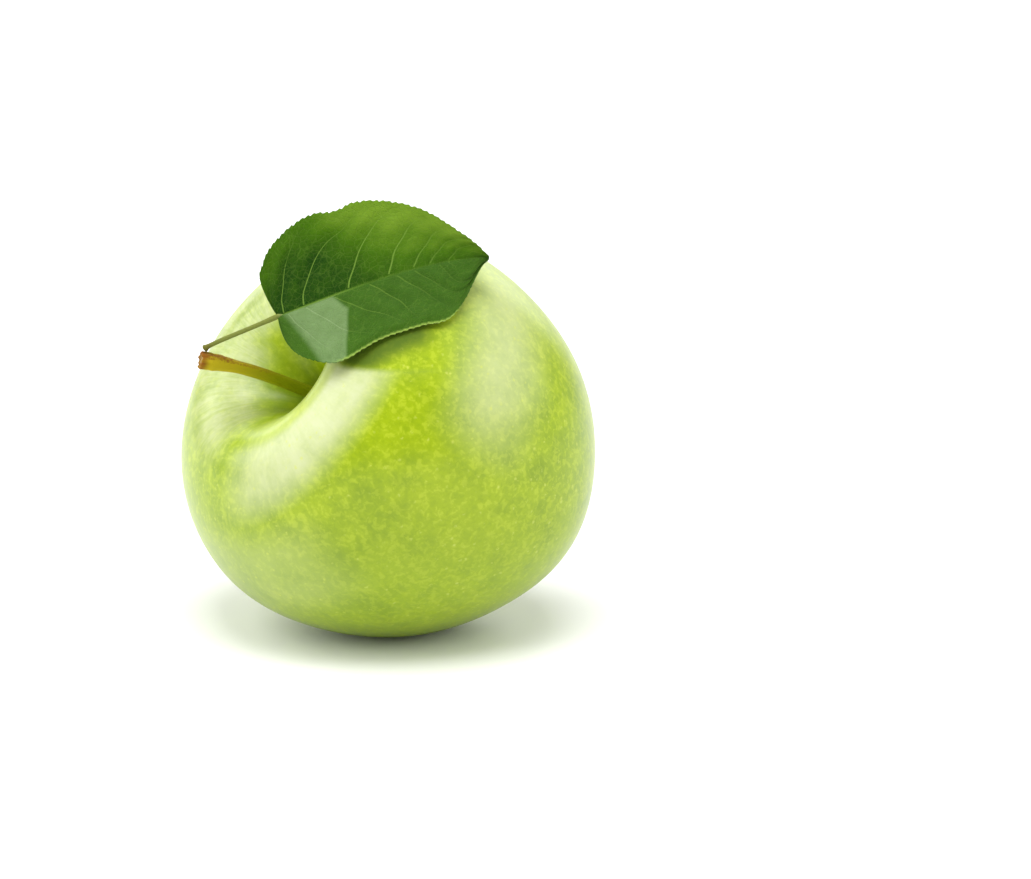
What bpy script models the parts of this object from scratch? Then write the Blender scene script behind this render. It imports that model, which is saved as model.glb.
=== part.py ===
"""A green apple as picked, with its stem and one leaf, resting on a small flat spot.

The frame is in metres with +Z up, and its origin is the centre of the flat spot. The fruit lies
tilted: its stem end leans towards -X and -Y, and its blossom end points down towards +X and +Y.
"""

import math

import bmesh
import bpy
from mathutils import Matrix, Vector

OBJECT_NAME = "apple"

# The fruit: a turned outline that is then made slightly oval, lobed and uneven.
GIRTH_RADIUS = 0.0376
STEM_END_HEIGHT = 0.0356
BLOSSOM_END_HEIGHT = 0.0360
SHOULDER_SWELL = 0.215
CAVITY_DEPTH = 0.0158
CAVITY_WIDTH = 0.0125
STEM_PIT_DEPTH = 0.0050
STEM_PIT_WIDTH = 0.0050
BASIN_DEPTH = 0.0085
BASIN_WIDTH = 0.0105
END_SHARPNESS = 6.0
LOBE_COUNT = 5
LOBE_SWELL = 0.020
LOBE_FULLNESS = 1.5
OVAL = (0.0185, 0.0200)
STEM_END_SKEW = (0.048, 0.056)
BLOSSOM_END_SKEW = (-0.165, -0.045)
SKEW_SHARPNESS = 3.0
FRUIT_SEGMENTS = 64
FRUIT_RINGS = 42
POLE_CROWDING = 0.40

# How the fruit lies: its axis leans from the vertical, towards a heading counted from +X.
AXIS_LEAN = math.radians(51.35)
AXIS_HEADING = math.radians(213.1)
AXIS_SPIN = math.radians(90.0)
FRUIT_CENTRE = Vector((-0.0019, 0.0034, 0.0339))

# The stem: a cubic curve from the pit of the cavity to the knobbly cut end.
STEM_ROUTE = ((-0.0122, -0.0033, 0.0437), (-0.0194, -0.0060, 0.0476),
              (-0.0254, -0.0095, 0.0515), (-0.0345, -0.0116, 0.0533))
STEM_RADIUS = 0.00115
STEM_BASE_SWELL = 0.15
STEM_BASE_END = 0.25
STEM_KNOB_SWELL = 0.42
STEM_KNOB_START = 0.72
STEM_KNOB_END = 0.95
STEM_POINTS = 16

# The leaf: a blade folded along its midrib, on a petiole that runs on as the rib under the blade.
PETIOLE_ROUTE = ((-0.0338, -0.0113, 0.0554), (-0.0324, -0.0119, 0.0566),
                 (-0.0264, -0.0146, 0.0594), (-0.0207, -0.0164, 0.0624))
MIDRIB_ROUTE = ((-0.0207, -0.0164, 0.0624), (-0.0117, -0.0205, 0.0665),
                (0.0050, -0.0195, 0.0738), (0.0167, -0.0128, 0.0720))
PETIOLE_RADIUS = 0.00046
MIDRIB_END_RADIUS = 0.00026
BLADE_THICKNESS = 0.00040
BLADE_BELLY = 0.0006
PETIOLE_POINTS = 8
MIDRIB_POINTS = 14
BLADE_ROWS = 40
BLADE_COLUMNS = 14

# Each half of the blade: its width, how its width grows and closes along the midrib, how far its
# margin is swept towards the base, and how far that sweep changes, with the way it leans. Its waves
# narrow it in places: by what share, at which place along the midrib, and how far that spreads.
FAR_HALF = {"width": 0.0163, "grow": 0.59, "close": 0.84, "sweep": -0.0003, "base_sweep": 0.0058,
            "lean": Vector((0.0, 0.585, 0.811)),
            "waves": ((0.065, 0.44, 0.055), (-0.30, 0.02, 0.05), (-0.035, 0.12, 0.05),
                      (0.105, 0.90, 0.085))}
NEAR_HALF = {"width": 0.0130, "grow": 0.39, "close": 0.46, "sweep": 0.0053, "base_sweep": -0.0041,
             "lean": Vector((0.0, -0.692, -0.722)),
             "waves": ((0.10, 0.55, 0.15), (-0.075, 0.33, 0.12), (-0.22, 0.86, 0.09),
                       (0.72, 0.985, 0.05))}

# The dried flower in the basin: five sepals round a tuft of stamens.
SEPAL_COUNT = 5
SEPAL_RING_RADIUS = 0.0027
SEPAL_LENGTH = 0.0052
SEPAL_WIDTH = 0.0025
SEPAL_THICKNESS = 0.00035
SEPAL_SPREAD = math.radians(38.0)
SEPAL_CURL = 0.0011
SEPAL_CURL_POWER = 3
SEPAL_POINT_POWER = 1.6
SEPAL_HOLLOW = 0.8
SEPAL_ROWS = 8
SEPAL_COLUMNS = 4
TUFT_RADIUS = 0.0014
TUFT_HEIGHT = 0.0008
TUFT_TAPER = 0.8
TUFT_SIDES = 20
STAMEN_COUNT = 9
STAMEN_LENGTH = 0.0030
STAMEN_RADIUS = 0.00022
STAMEN_TAPER = 0.6
STAMEN_LEAN = math.radians(16.0)
STAMEN_RING_RADIUS = 0.0009
STAMEN_SIDES = 6

BASIN_SIDES = 24
SEAT_GAP = 0.0003
MERGE_DISTANCE = 0.00001

# Each finish: its name, its colour and its roughness.
SKIN = ("skin", (0.42, 0.60, 0.06), 0.32)
STEM_BARK = ("stem_bark", (0.33, 0.21, 0.05), 0.6)
LEAF_BLADE = ("leaf_blade", (0.07, 0.20, 0.03), 0.5)
DRIED_SEPAL = ("dried_sepal", (0.16, 0.11, 0.05), 0.85)
DRIED_STAMEN = ("dried_stamen", (0.09, 0.06, 0.03), 0.9)


def clear_scene():
    """Remove whatever the scene holds."""
    for item in list(bpy.data.objects):
        bpy.data.objects.remove(item, do_unlink=True)


def new_collection(name):
    """Add a collection to the scene."""
    collection = bpy.data.collections.new(name)
    bpy.context.scene.collection.children.link(collection)
    return collection


def new_material(name, colour, roughness):
    """Make a Principled material of one colour."""
    material = bpy.data.materials.new(name)
    material.use_nodes = True
    shader = material.node_tree.nodes["Principled BSDF"]
    shader.inputs["Base Color"].default_value = (*colour, 1.0)
    shader.inputs["Roughness"].default_value = roughness
    shader.inputs["Metallic"].default_value = 0.0
    return material


def mesh_object(name, bm, collection, material=None):
    """Turn a bmesh into a smooth shaded object."""
    bmesh.ops.recalc_face_normals(bm, faces=bm.faces)
    mesh = bpy.data.meshes.new(name)
    bm.to_mesh(mesh)
    bm.free()
    mesh.shade_smooth()
    if material is not None:
        mesh.materials.append(material)
    item = bpy.data.objects.new(name, mesh)
    collection.objects.link(item)
    return item


def hide_cutter(item):
    """Show a guide object as wire and keep it out of the model."""
    item.hide_render = True
    item.display_type = "WIRE"


def add_thickness(item, thickness):
    """Give an open surface its thickness, half to each side."""
    solidify = item.modifiers.new("thickness", "SOLIDIFY")
    solidify.thickness = thickness
    solidify.offset = 0.0


def bezier(route, t):
    """Return the point at t on the cubic curve of four control points."""
    p0, p1, p2, p3 = (Vector(point) for point in route)
    u = 1.0 - t
    return u ** 3 * p0 + 3 * u * u * t * p1 + 3 * u * t * t * p2 + t ** 3 * p3


def smooth_step(value, start, end):
    """Rise smoothly from 0 at start to 1 at end."""
    x = min(max((value - start) / (end - start), 0.0), 1.0)
    return x * x * (3.0 - 2.0 * x)


def tube(name, points, radii, collection, material=None):
    """Make a round tube through the points, with a radius at each."""
    curve = bpy.data.curves.new(name, "CURVE")
    curve.dimensions = "3D"
    curve.bevel_depth = 1.0
    curve.bevel_resolution = 2
    curve.use_fill_caps = True
    spline = curve.splines.new("POLY")
    spline.points.add(len(points) - 1)
    for target, point, radius in zip(spline.points, points, radii):
        target.co = (*point, 1.0)
        target.radius = radius
    if material is not None:
        curve.materials.append(material)
    item = bpy.data.objects.new(name, curve)
    collection.objects.link(item)
    return item


def tube_as_mesh(name, points, radii, collection):
    """Make a tube whose caps are welded, so that it can be joined to another solid."""
    guide = tube(name + "_guide", points, radii, collection)
    evaluated = guide.evaluated_get(bpy.context.evaluated_depsgraph_get())
    mesh = bpy.data.meshes.new_from_object(evaluated)
    bm = bmesh.new()
    bm.from_mesh(mesh)
    bmesh.ops.remove_doubles(bm, verts=bm.verts, dist=MERGE_DISTANCE)
    item = mesh_object(name, bm, collection)
    item.matrix_world = guide.matrix_world
    bpy.data.objects.remove(guide, do_unlink=True)
    return item


def fruit_frame():
    """Return the matrix from the fruit's own frame, stem end up, to the frame of the part."""
    lean = Matrix.Rotation(AXIS_HEADING, 4, "Z") @ Matrix.Rotation(AXIS_LEAN, 4, "Y")
    return Matrix.Translation(FRUIT_CENTRE) @ lean @ Matrix.Rotation(AXIS_SPIN, 4, "Z")


def skin_point(colatitude, azimuth):
    """Return the point of the skin in the fruit's own frame.

    The outline is a half circle of latitude with the cavity and the basin sunk into its ends as
    bell shaped hollows. Five faint lobes grow towards the blossom end, the girth is slightly oval,
    and each end is skewed to one side.
    """
    rise = math.cos(colatitude)
    reach = GIRTH_RADIUS * math.sin(colatitude) * (1.0 + 0.5 * SHOULDER_SWELL * rise)
    height = rise * (STEM_END_HEIGHT if rise > 0.0 else BLOSSOM_END_HEIGHT)
    cavity = (CAVITY_DEPTH * math.exp(-(reach / CAVITY_WIDTH) ** 2)
              + STEM_PIT_DEPTH * math.exp(-(reach / STEM_PIT_WIDTH) ** 2))
    basin = BASIN_DEPTH * math.exp(-(reach / BASIN_WIDTH) ** 2)
    upper = 0.5 * (1.0 + math.tanh(END_SHARPNESS * rise))
    height += (1.0 - upper) * basin - upper * cavity

    lowness = (0.5 * (1.0 - rise)) ** 2
    lobe = LOBE_SWELL * lowness * min(LOBE_FULLNESS * math.sin(colatitude), 1.0)
    reach *= 1.0 + lobe * math.cos(LOBE_COUNT * azimuth)
    blend = 0.5 * (1.0 + math.tanh(SKEW_SHARPNESS * rise))
    along, across = math.cos(azimuth), math.sin(azimuth)
    stem_skew = STEM_END_SKEW[0] * along + STEM_END_SKEW[1] * across
    blossom_skew = BLOSSOM_END_SKEW[0] * along + BLOSSOM_END_SKEW[1] * across
    height += reach * (blend * stem_skew + (1.0 - blend) * blossom_skew)
    reach *= 1.0 + OVAL[0] * math.cos(2.0 * azimuth) + OVAL[1] * math.sin(2.0 * azimuth)
    return Vector((reach * along, reach * across, height))


def make_fruit(collection):
    """Build the fruit as one solid and cut its flat spot at z = 0."""
    bm = bmesh.new()
    bmesh.ops.create_uvsphere(bm, u_segments=FRUIT_SEGMENTS, v_segments=FRUIT_RINGS, radius=1.0)
    frame = fruit_frame()
    for vertex in bm.verts:
        colatitude = math.acos(min(max(vertex.co.z, -1.0), 1.0))
        colatitude -= 0.5 * POLE_CROWDING * math.sin(2.0 * colatitude)
        azimuth = math.atan2(vertex.co.y, vertex.co.x)
        vertex.co = frame @ skin_point(colatitude, azimuth)
    everything = bm.verts[:] + bm.edges[:] + bm.faces[:]
    bmesh.ops.bisect_plane(bm, geom=everything, dist=MERGE_DISTANCE, plane_co=(0.0, 0.0, 0.0),
                           plane_no=(0.0, 0.0, 1.0), clear_inner=True)
    rim = [edge for edge in bm.edges if edge.is_boundary]
    bmesh.ops.edgeloop_fill(bm, edges=rim)
    return mesh_object("fruit", bm, collection, new_material(*SKIN))


def make_stem(collection):
    """Build the stem, thicker at its base and at its cut end."""
    steps = [index / (STEM_POINTS - 1) for index in range(STEM_POINTS)]
    points = [bezier(STEM_ROUTE, t) for t in steps]
    radii = []
    for t in steps:
        base = STEM_BASE_SWELL * (1.0 - smooth_step(t, 0.0, STEM_BASE_END))
        knob = STEM_KNOB_SWELL * smooth_step(t, STEM_KNOB_START, STEM_KNOB_END)
        radii.append(STEM_RADIUS * (1.0 + base + knob))
    return tube("stem", points, radii, collection, new_material(*STEM_BARK))


def half_width(half, t):
    """Return the share of a half blade's full width at t along the midrib."""
    grow, close = half["grow"], half["close"]
    widest = grow / (grow + close)
    peak = widest ** grow * (1.0 - widest) ** close
    narrowing = sum(depth * math.exp(-((t - place) / spread) ** 2)
                    for depth, place, spread in half["waves"])
    return t ** grow * (1.0 - t) ** close / peak * (1.0 - narrowing)


def blade_point(t, across):
    """Return a point of the blade.

    t runs from the base of the blade to its tip, and across from -1 at the near margin, over 0 at
    the midrib, to 1 at the far margin. A half leans out from the midrib at a right angle to the
    chord, its margin is swept along the chord, and it bellies a little between rib and margin.
    """
    half = FAR_HALF if across > 0.0 else NEAR_HALF
    reach = abs(across)
    chord = (Vector(MIDRIB_ROUTE[3]) - Vector(MIDRIB_ROUTE[0])).normalized()
    outward = (half["lean"] - half["lean"].dot(chord) * chord).normalized()
    share = reach * half_width(half, t)
    sweep = half["sweep"] + half["base_sweep"] * (1.0 - t) ** 2
    normal = chord.cross(outward).normalized()
    if across > 0.0:
        normal = -normal
    belly = BLADE_BELLY * 4.0 * reach * (1.0 - reach) * half_width(half, t)
    return (bezier(MIDRIB_ROUTE, t) + share * half["width"] * outward - share * sweep * chord
            + belly * normal)


def make_leaf(collection, cutters):
    """Build the blade with its thickness and join the petiole and midrib to it."""
    bm = bmesh.new()
    bmesh.ops.create_grid(bm, x_segments=BLADE_ROWS, y_segments=BLADE_COLUMNS, size=0.5)
    for vertex in bm.verts:
        t = min(max(vertex.co.x + 0.5, 0.0), 1.0)
        vertex.co = blade_point(0.5 - 0.5 * math.cos(math.pi * t), 2.0 * vertex.co.y)
    bmesh.ops.remove_doubles(bm, verts=bm.verts, dist=MERGE_DISTANCE)
    leaf = mesh_object("leaf", bm, collection, new_material(*LEAF_BLADE))
    add_thickness(leaf, BLADE_THICKNESS)

    points = [bezier(PETIOLE_ROUTE, index / PETIOLE_POINTS) for index in range(PETIOLE_POINTS)]
    radii = [PETIOLE_RADIUS] * PETIOLE_POINTS
    for index in range(MIDRIB_POINTS):
        t = index / MIDRIB_POINTS
        points.append(bezier(MIDRIB_ROUTE, t))
        radii.append(PETIOLE_RADIUS + (MIDRIB_END_RADIUS - PETIOLE_RADIUS) * t)
    rib = tube_as_mesh("petiole_and_midrib", points, radii, cutters)
    hide_cutter(rib)
    union = leaf.modifiers.new("petiole", "BOOLEAN")
    union.operation = "UNION"
    union.solver = "EXACT"
    union.object = rib
    return leaf


def basin_floor(radius):
    """Return the height of the basin's floor in the fruit's own frame, on its highest side."""
    sides = (math.tau * step / BASIN_SIDES for step in range(BASIN_SIDES))
    colatitude = math.pi - math.asin(radius / GIRTH_RADIUS)
    return min(skin_point(colatitude, side).z for side in sides)


def make_sepal(index, collection, material):
    """Build one dried sepal, pointed and curled outwards, standing in the basin."""
    bm = bmesh.new()
    bmesh.ops.create_grid(bm, x_segments=SEPAL_ROWS, y_segments=SEPAL_COLUMNS, size=0.5)
    foot = basin_floor(SEPAL_RING_RADIUS + SEPAL_WIDTH) - SEAT_GAP - SEPAL_THICKNESS
    turn = Matrix.Rotation(math.tau * index / SEPAL_COUNT, 4, "Z")
    frame = fruit_frame() @ turn
    for vertex in bm.verts:
        t = min(max(vertex.co.x + 0.5, 0.0), 1.0)
        width = SEPAL_WIDTH * (1.0 - t ** SEPAL_POINT_POWER) + SEPAL_THICKNESS * t
        sideways = vertex.co.y * width
        outward = SEPAL_LENGTH * t * math.sin(SEPAL_SPREAD) + SEPAL_CURL * t ** SEPAL_CURL_POWER
        hollow = SEPAL_HOLLOW * sideways ** 2 / SEPAL_WIDTH
        depth = SEPAL_LENGTH * t * math.cos(SEPAL_SPREAD)
        vertex.co = frame @ Vector((SEPAL_RING_RADIUS + outward - hollow, sideways, foot - depth))
    sepal = mesh_object("sepal_%d" % (index + 1), bm, collection, material)
    add_thickness(sepal, SEPAL_THICKNESS)
    return sepal


def cone_at(bm, matrix, radius_base, radius_top, height, sides):
    """Add a closed cone that stands on the origin of the matrix."""
    centre = matrix @ Matrix.Translation((0.0, 0.0, 0.5 * height))
    bmesh.ops.create_cone(bm, cap_ends=True, segments=sides, radius1=radius_base,
                          radius2=radius_top, depth=height, matrix=centre)


def make_stamens(collection, cutters):
    """Build the tuft of dried stamens, one solid, standing in the middle of the basin."""
    foot = basin_floor(TUFT_RADIUS) - SEAT_GAP
    upside_down = Matrix.Rotation(math.pi, 4, "X")
    frame = fruit_frame() @ Matrix.Translation((0.0, 0.0, foot)) @ upside_down
    bm = bmesh.new()
    cone_at(bm, frame, TUFT_RADIUS, TUFT_TAPER * TUFT_RADIUS, TUFT_HEIGHT,
            TUFT_SIDES)
    tuft = mesh_object("stamens", bm, collection, new_material(*DRIED_STAMEN))
    filaments = bpy.data.collections.new("filaments")
    cutters.children.link(filaments)
    for index in range(STAMEN_COUNT):
        middle = index == STAMEN_COUNT - 1
        turn = Matrix.Rotation(math.tau * index / (STAMEN_COUNT - 1), 4, "Z")
        ring = 0.0 if middle else STAMEN_RING_RADIUS
        lean = 0.0 if middle else STAMEN_LEAN
        place = turn @ Matrix.Translation((ring, 0.0, 0.5 * TUFT_HEIGHT))
        bm = bmesh.new()
        cone_at(bm, frame @ place @ Matrix.Rotation(lean, 4, "Y"), STAMEN_RADIUS,
                STAMEN_TAPER * STAMEN_RADIUS, STAMEN_LENGTH, STAMEN_SIDES)
        hide_cutter(mesh_object("filament_%d" % (index + 1), bm, filaments))
    union = tuft.modifiers.new("filaments", "BOOLEAN")
    union.operation = "UNION"
    union.solver = "EXACT"
    union.operand_type = "COLLECTION"
    union.collection = filaments
    return tuft


def main():
    """Build the apple."""
    clear_scene()
    parts = new_collection(OBJECT_NAME)
    cutters = new_collection(OBJECT_NAME + "_cutters")
    make_fruit(parts)
    make_stem(parts)
    make_leaf(parts, cutters)
    sepal_material = new_material(*DRIED_SEPAL)
    for index in range(SEPAL_COUNT):
        make_sepal(index, parts, sepal_material)
    make_stamens(parts, cutters)


main()
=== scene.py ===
"""The looks of a green apple with its stem, its leaf and the dried flower in its basin.

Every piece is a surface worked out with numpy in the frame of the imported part: metres, +Z up and
the origin at the centre of the flat spot that the fruit rests on.
"""

import logging
import math
from dataclasses import dataclass, field
from enum import Enum

import bpy
import numpy as np
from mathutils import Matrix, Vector


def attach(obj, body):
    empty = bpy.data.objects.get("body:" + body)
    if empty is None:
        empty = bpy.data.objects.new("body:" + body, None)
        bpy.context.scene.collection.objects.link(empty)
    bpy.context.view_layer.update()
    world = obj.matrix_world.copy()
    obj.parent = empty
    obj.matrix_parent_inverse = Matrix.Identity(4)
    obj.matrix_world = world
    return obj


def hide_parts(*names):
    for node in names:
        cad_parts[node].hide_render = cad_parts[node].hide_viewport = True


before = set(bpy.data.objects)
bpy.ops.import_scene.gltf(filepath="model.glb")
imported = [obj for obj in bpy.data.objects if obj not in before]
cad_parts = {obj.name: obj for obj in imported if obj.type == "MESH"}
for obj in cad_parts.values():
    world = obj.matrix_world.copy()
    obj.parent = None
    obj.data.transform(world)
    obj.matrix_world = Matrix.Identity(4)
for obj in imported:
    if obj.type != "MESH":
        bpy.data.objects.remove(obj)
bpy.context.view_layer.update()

ROOT_BODY = "root"

PAINT_SHARE = 0.87

Array = np.ndarray
Colour = tuple[float, float, float]
Point = tuple[float, float, float]
Span = tuple[float, float]

log = logging.getLogger("apple")


class Side(Enum):
    """The two halves of the blade, by the sign of the coordinate across it."""

    FAR = 1
    NEAR = -1


class Octaves(Enum):
    """How much fine detail a noise pattern carries."""

    PLAIN = 1.0
    FINE = 4.0


# ---- Shared mathematics ----


def linear(red: int, green: int, blue: int) -> Colour:
    """Turn display values from 0 to 255 into the linear colour that shaders use.

    The colour is what the surface shows under the bright studio light, so its own share of light
    sent back is PAINT_SHARE times that.

    Args:
        red: Red, 0 to 255.
        green: Green, 0 to 255.
        blue: Blue, 0 to 255.

    Returns:
        The linear colour, each value from 0 to 1.
    """
    display = np.array([red, green, blue]) / 255.0
    curved = np.where(display <= 0.04045, display / 12.92, ((display + 0.055) / 1.055) ** 2.4)
    return tuple(float(value) for value in PAINT_SHARE * curved)


def ease(values: Array, start: float, end: float) -> Array:
    """Rise smoothly from 0 at start to 1 at end: 3x^2 - 2x^3 of the clipped share x."""
    x = np.clip((values - start) / (end - start), 0.0, 1.0)
    return x * x * (3.0 - 2.0 * x)


def bell(values: Array, centre: float, spread: float) -> Array:
    """Give the bell curve exp(-((values - centre) / spread)^2)."""
    return np.exp(-(((values - centre) / spread) ** 2))


def unit(vectors: Array) -> Array:
    """Scale the vectors in the last axis to length one."""
    lengths = np.linalg.norm(vectors, axis=-1, keepdims=True)
    return vectors / np.maximum(lengths, 1e-12)


def bezier(route: tuple[Point, ...], t: Array) -> Array:
    """Read a cubic curve.

    Args:
        route: The curve's four control points.
        t: Where to read it, from 0 to 1, in any shape.

    Returns:
        The points (1-t)^3 P0 + 3(1-t)^2 t P1 + 3(1-t) t^2 P2 + t^3 P3, with one more axis than t.
    """
    p0, p1, p2, p3 = (np.array(point) for point in route)
    t = np.asarray(t)[..., None]
    u = 1.0 - t
    return u**3 * p0 + 3 * u * u * t * p1 + 3 * u * t * t * p2 + t**3 * p3


def turn(axis: str, angle: float) -> Array:
    """Give the 3 by 3 rotation about a main axis.

    Args:
        axis: "X", "Y" or "Z".
        angle: The angle in radians, by the right-hand rule.

    Returns:
        The rotation matrix.
    """
    c, s = math.cos(angle), math.sin(angle)
    rows = {
        "X": [[1, 0, 0], [0, c, -s], [0, s, c]],
        "Y": [[c, 0, s], [0, 1, 0], [-s, 0, c]],
        "Z": [[c, -s, 0], [s, c, 0], [0, 0, 1]],
    }
    return np.array(rows[axis])


def carry(centres: Array, outline: Array, upward: Point) -> Array:
    """Carry an outline along a path.

    Each row of the result is the path's point plus the outline's two coordinates laid along the two
    directions at right angles to the path: side = tangent x upward, and over = side x tangent.

    Args:
        centres: The path, as rows of points.
        outline: For each row, the outline's points as pairs, in metres.
        upward: A direction that the path never takes.

    Returns:
        A grid of points, rows along the path and columns round the outline.
    """
    tangent = unit(np.gradient(centres, axis=0))
    side = unit(np.cross(tangent, np.array(upward)))
    over = np.cross(side, tangent)
    return (centres[:, None] + outline[..., 0:1] * side[:, None]
            + outline[..., 1:2] * over[:, None])


def ring_angles(columns: int) -> Array:
    """Give evenly spaced angles round a full circle."""
    return np.arange(columns) * (math.tau / columns)


# ---- From arrays to meshes ----


@dataclass
class Shell:
    """A closed surface: rings of points with a pole at each end.

    Attributes:
        rings: The points, as rows of rings, each ring closed round its columns.
        start: The pole before the first ring.
        end: The pole after the last ring.
        values: Named triples of numbers at every ring point.
    """

    rings: Array
    start: Array
    end: Array
    values: dict[str, Array] = field(default_factory=dict)

    def points(self) -> Array:
        """List the ring points row by row, then the two poles."""
        return np.concatenate([self.rings.reshape(-1, 3), self.start[None], self.end[None]])

    def value(self, name: str) -> Array:
        """List one named triple at every point; a pole takes the mean of the ring beside it."""
        grid = self.values[name]
        return np.concatenate([grid.reshape(-1, 3), [grid[0].mean(0), grid[-1].mean(0)]])

    def faces(self) -> tuple[Array, Array]:
        """Work out the faces: four corners between two rings, three at a pole.

        Returns:
            The quads and the triangles, turned so that the surface points outwards.
        """
        rows, columns = self.rings.shape[:2]
        here = np.arange(columns)
        after = (here + 1) % columns
        row = np.arange(rows - 1)[:, None] * columns
        quads = np.stack([row + here, row + columns + here, row + columns + after, row + after], -1)
        quads = quads.reshape(-1, 4)
        first, last = rows * columns, rows * columns + 1
        tail = (rows - 1) * columns
        cap_start = np.stack([np.full(columns, first), here, after], -1)
        cap_end = np.stack([np.full(columns, last), tail + after, tail + here], -1)
        triangles = np.concatenate([cap_start, cap_end])
        if self.volume(quads, triangles) < 0.0:
            quads, triangles = quads[:, ::-1], triangles[:, ::-1]
        return quads, triangles

    def volume(self, quads: Array, triangles: Array) -> float:
        """Sum the signed tetrahedra p . (q x r) / 6 between the origin and every triangle.

        Args:
            quads: The faces with four corners.
            triangles: The faces with three.

        Returns:
            The volume, below zero if the faces point inwards.
        """
        points = self.points()
        fans = np.concatenate([quads[:, [0, 1, 2]], quads[:, [0, 2, 3]], triangles])
        p, q, r = (points[fans[:, corner]] for corner in range(3))
        return float(np.einsum("ij,ij->", p, np.cross(q, r)) / 6.0)


def mesh_from_shells(name: str, shells: list[Shell],
                     material: bpy.types.Material) -> bpy.types.Object:
    """Put closed surfaces into one smooth mesh object at the origin.

    Args:
        name: The piece's name.
        shells: The surfaces, all with the same named values.
        material: The finish of the whole piece.

    Returns:
        The new object.
    """
    points, loops, sizes = [], [], []
    offset = 0
    for shell in shells:
        quads, triangles = shell.faces()
        points.append(shell.points())
        loops += [(quads + offset).ravel(), (triangles + offset).ravel()]
        sizes += [np.full(len(quads), 4), np.full(len(triangles), 3)]
        offset += len(points[-1])
    corners = np.concatenate(loops).astype(np.int32)
    counts = np.concatenate(sizes)
    starts = (np.cumsum(counts) - counts).astype(np.int32)

    mesh = bpy.data.meshes.new(name)
    mesh.vertices.add(offset)
    mesh.vertices.foreach_set("co", np.concatenate(points).astype(np.float32).ravel())
    mesh.loops.add(len(corners))
    mesh.loops.foreach_set("vertex_index", corners)
    mesh.polygons.add(len(starts))
    mesh.polygons.foreach_set("loop_start", starts)
    for key in shells[0].values:
        triples = np.concatenate([shell.value(key) for shell in shells]).astype(np.float32)
        layer = mesh.attributes.new(key, "FLOAT_VECTOR", "POINT")
        layer.data.foreach_set("vector", triples.ravel())
    mesh.update(calc_edges=True)
    mesh.validate()
    mesh.shade_smooth()
    mesh.materials.append(material)
    piece = bpy.data.objects.new(name, mesh)
    bpy.context.scene.collection.objects.link(piece)
    return piece


# ---- Shader mathematics ----


def find_socket(sockets: bpy.types.bpy_prop_collection, key: str) -> bpy.types.NodeSocket:
    """Find a socket by its identifier, or else by its name.

    Args:
        sockets: The inputs or outputs of a node.
        key: The identifier or name.

    Returns:
        The socket.
    """
    for socket in sockets:
        if socket.identifier == key:
            return socket
    return sockets[key]


class Signal:
    """A number that varies over a surface; arithmetic on it adds Math nodes."""

    def __init__(self, recipe: "Recipe", socket: bpy.types.NodeSocket) -> None:
        """Wrap a socket of the recipe's node tree."""
        self.recipe = recipe
        self.socket = socket

    def __add__(self, other: "Signal | float") -> "Signal":
        """Add."""
        return self.recipe.math("ADD", self, other)

    __radd__ = __add__

    def __sub__(self, other: "Signal | float") -> "Signal":
        """Subtract."""
        return self.recipe.math("SUBTRACT", self, other)

    def __rsub__(self, other: float) -> "Signal":
        """Subtract this from a number."""
        return self.recipe.math("SUBTRACT", other, self)

    def __mul__(self, other: "Signal | float") -> "Signal":
        """Multiply."""
        return self.recipe.math("MULTIPLY", self, other)

    __rmul__ = __mul__

    def __truediv__(self, other: "Signal | float") -> "Signal":
        """Divide."""
        return self.recipe.math("DIVIDE", self, other)

    def within(self) -> "Signal":
        """Clip to the range from 0 to 1."""
        return self.recipe.math("ADD", self, 0.0, clamp=True)

    def ease(self, start: float, end: float) -> "Signal":
        """Rise smoothly, by 3x^2 - 2x^3 of the clipped share x.

        Args:
            start: Where the result is 0; it may be the larger.
            end: Where the result is 1.

        Returns:
            The result, from 0 to 1.
        """
        values = {"Value": self, "From Min": min(start, end), "From Max": max(start, end)}
        risen = self.recipe.signal("ShaderNodeMapRange", {"interpolation_type": "SMOOTHSTEP"},
                                   values, "Result")
        return risen if start < end else 1.0 - risen


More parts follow.
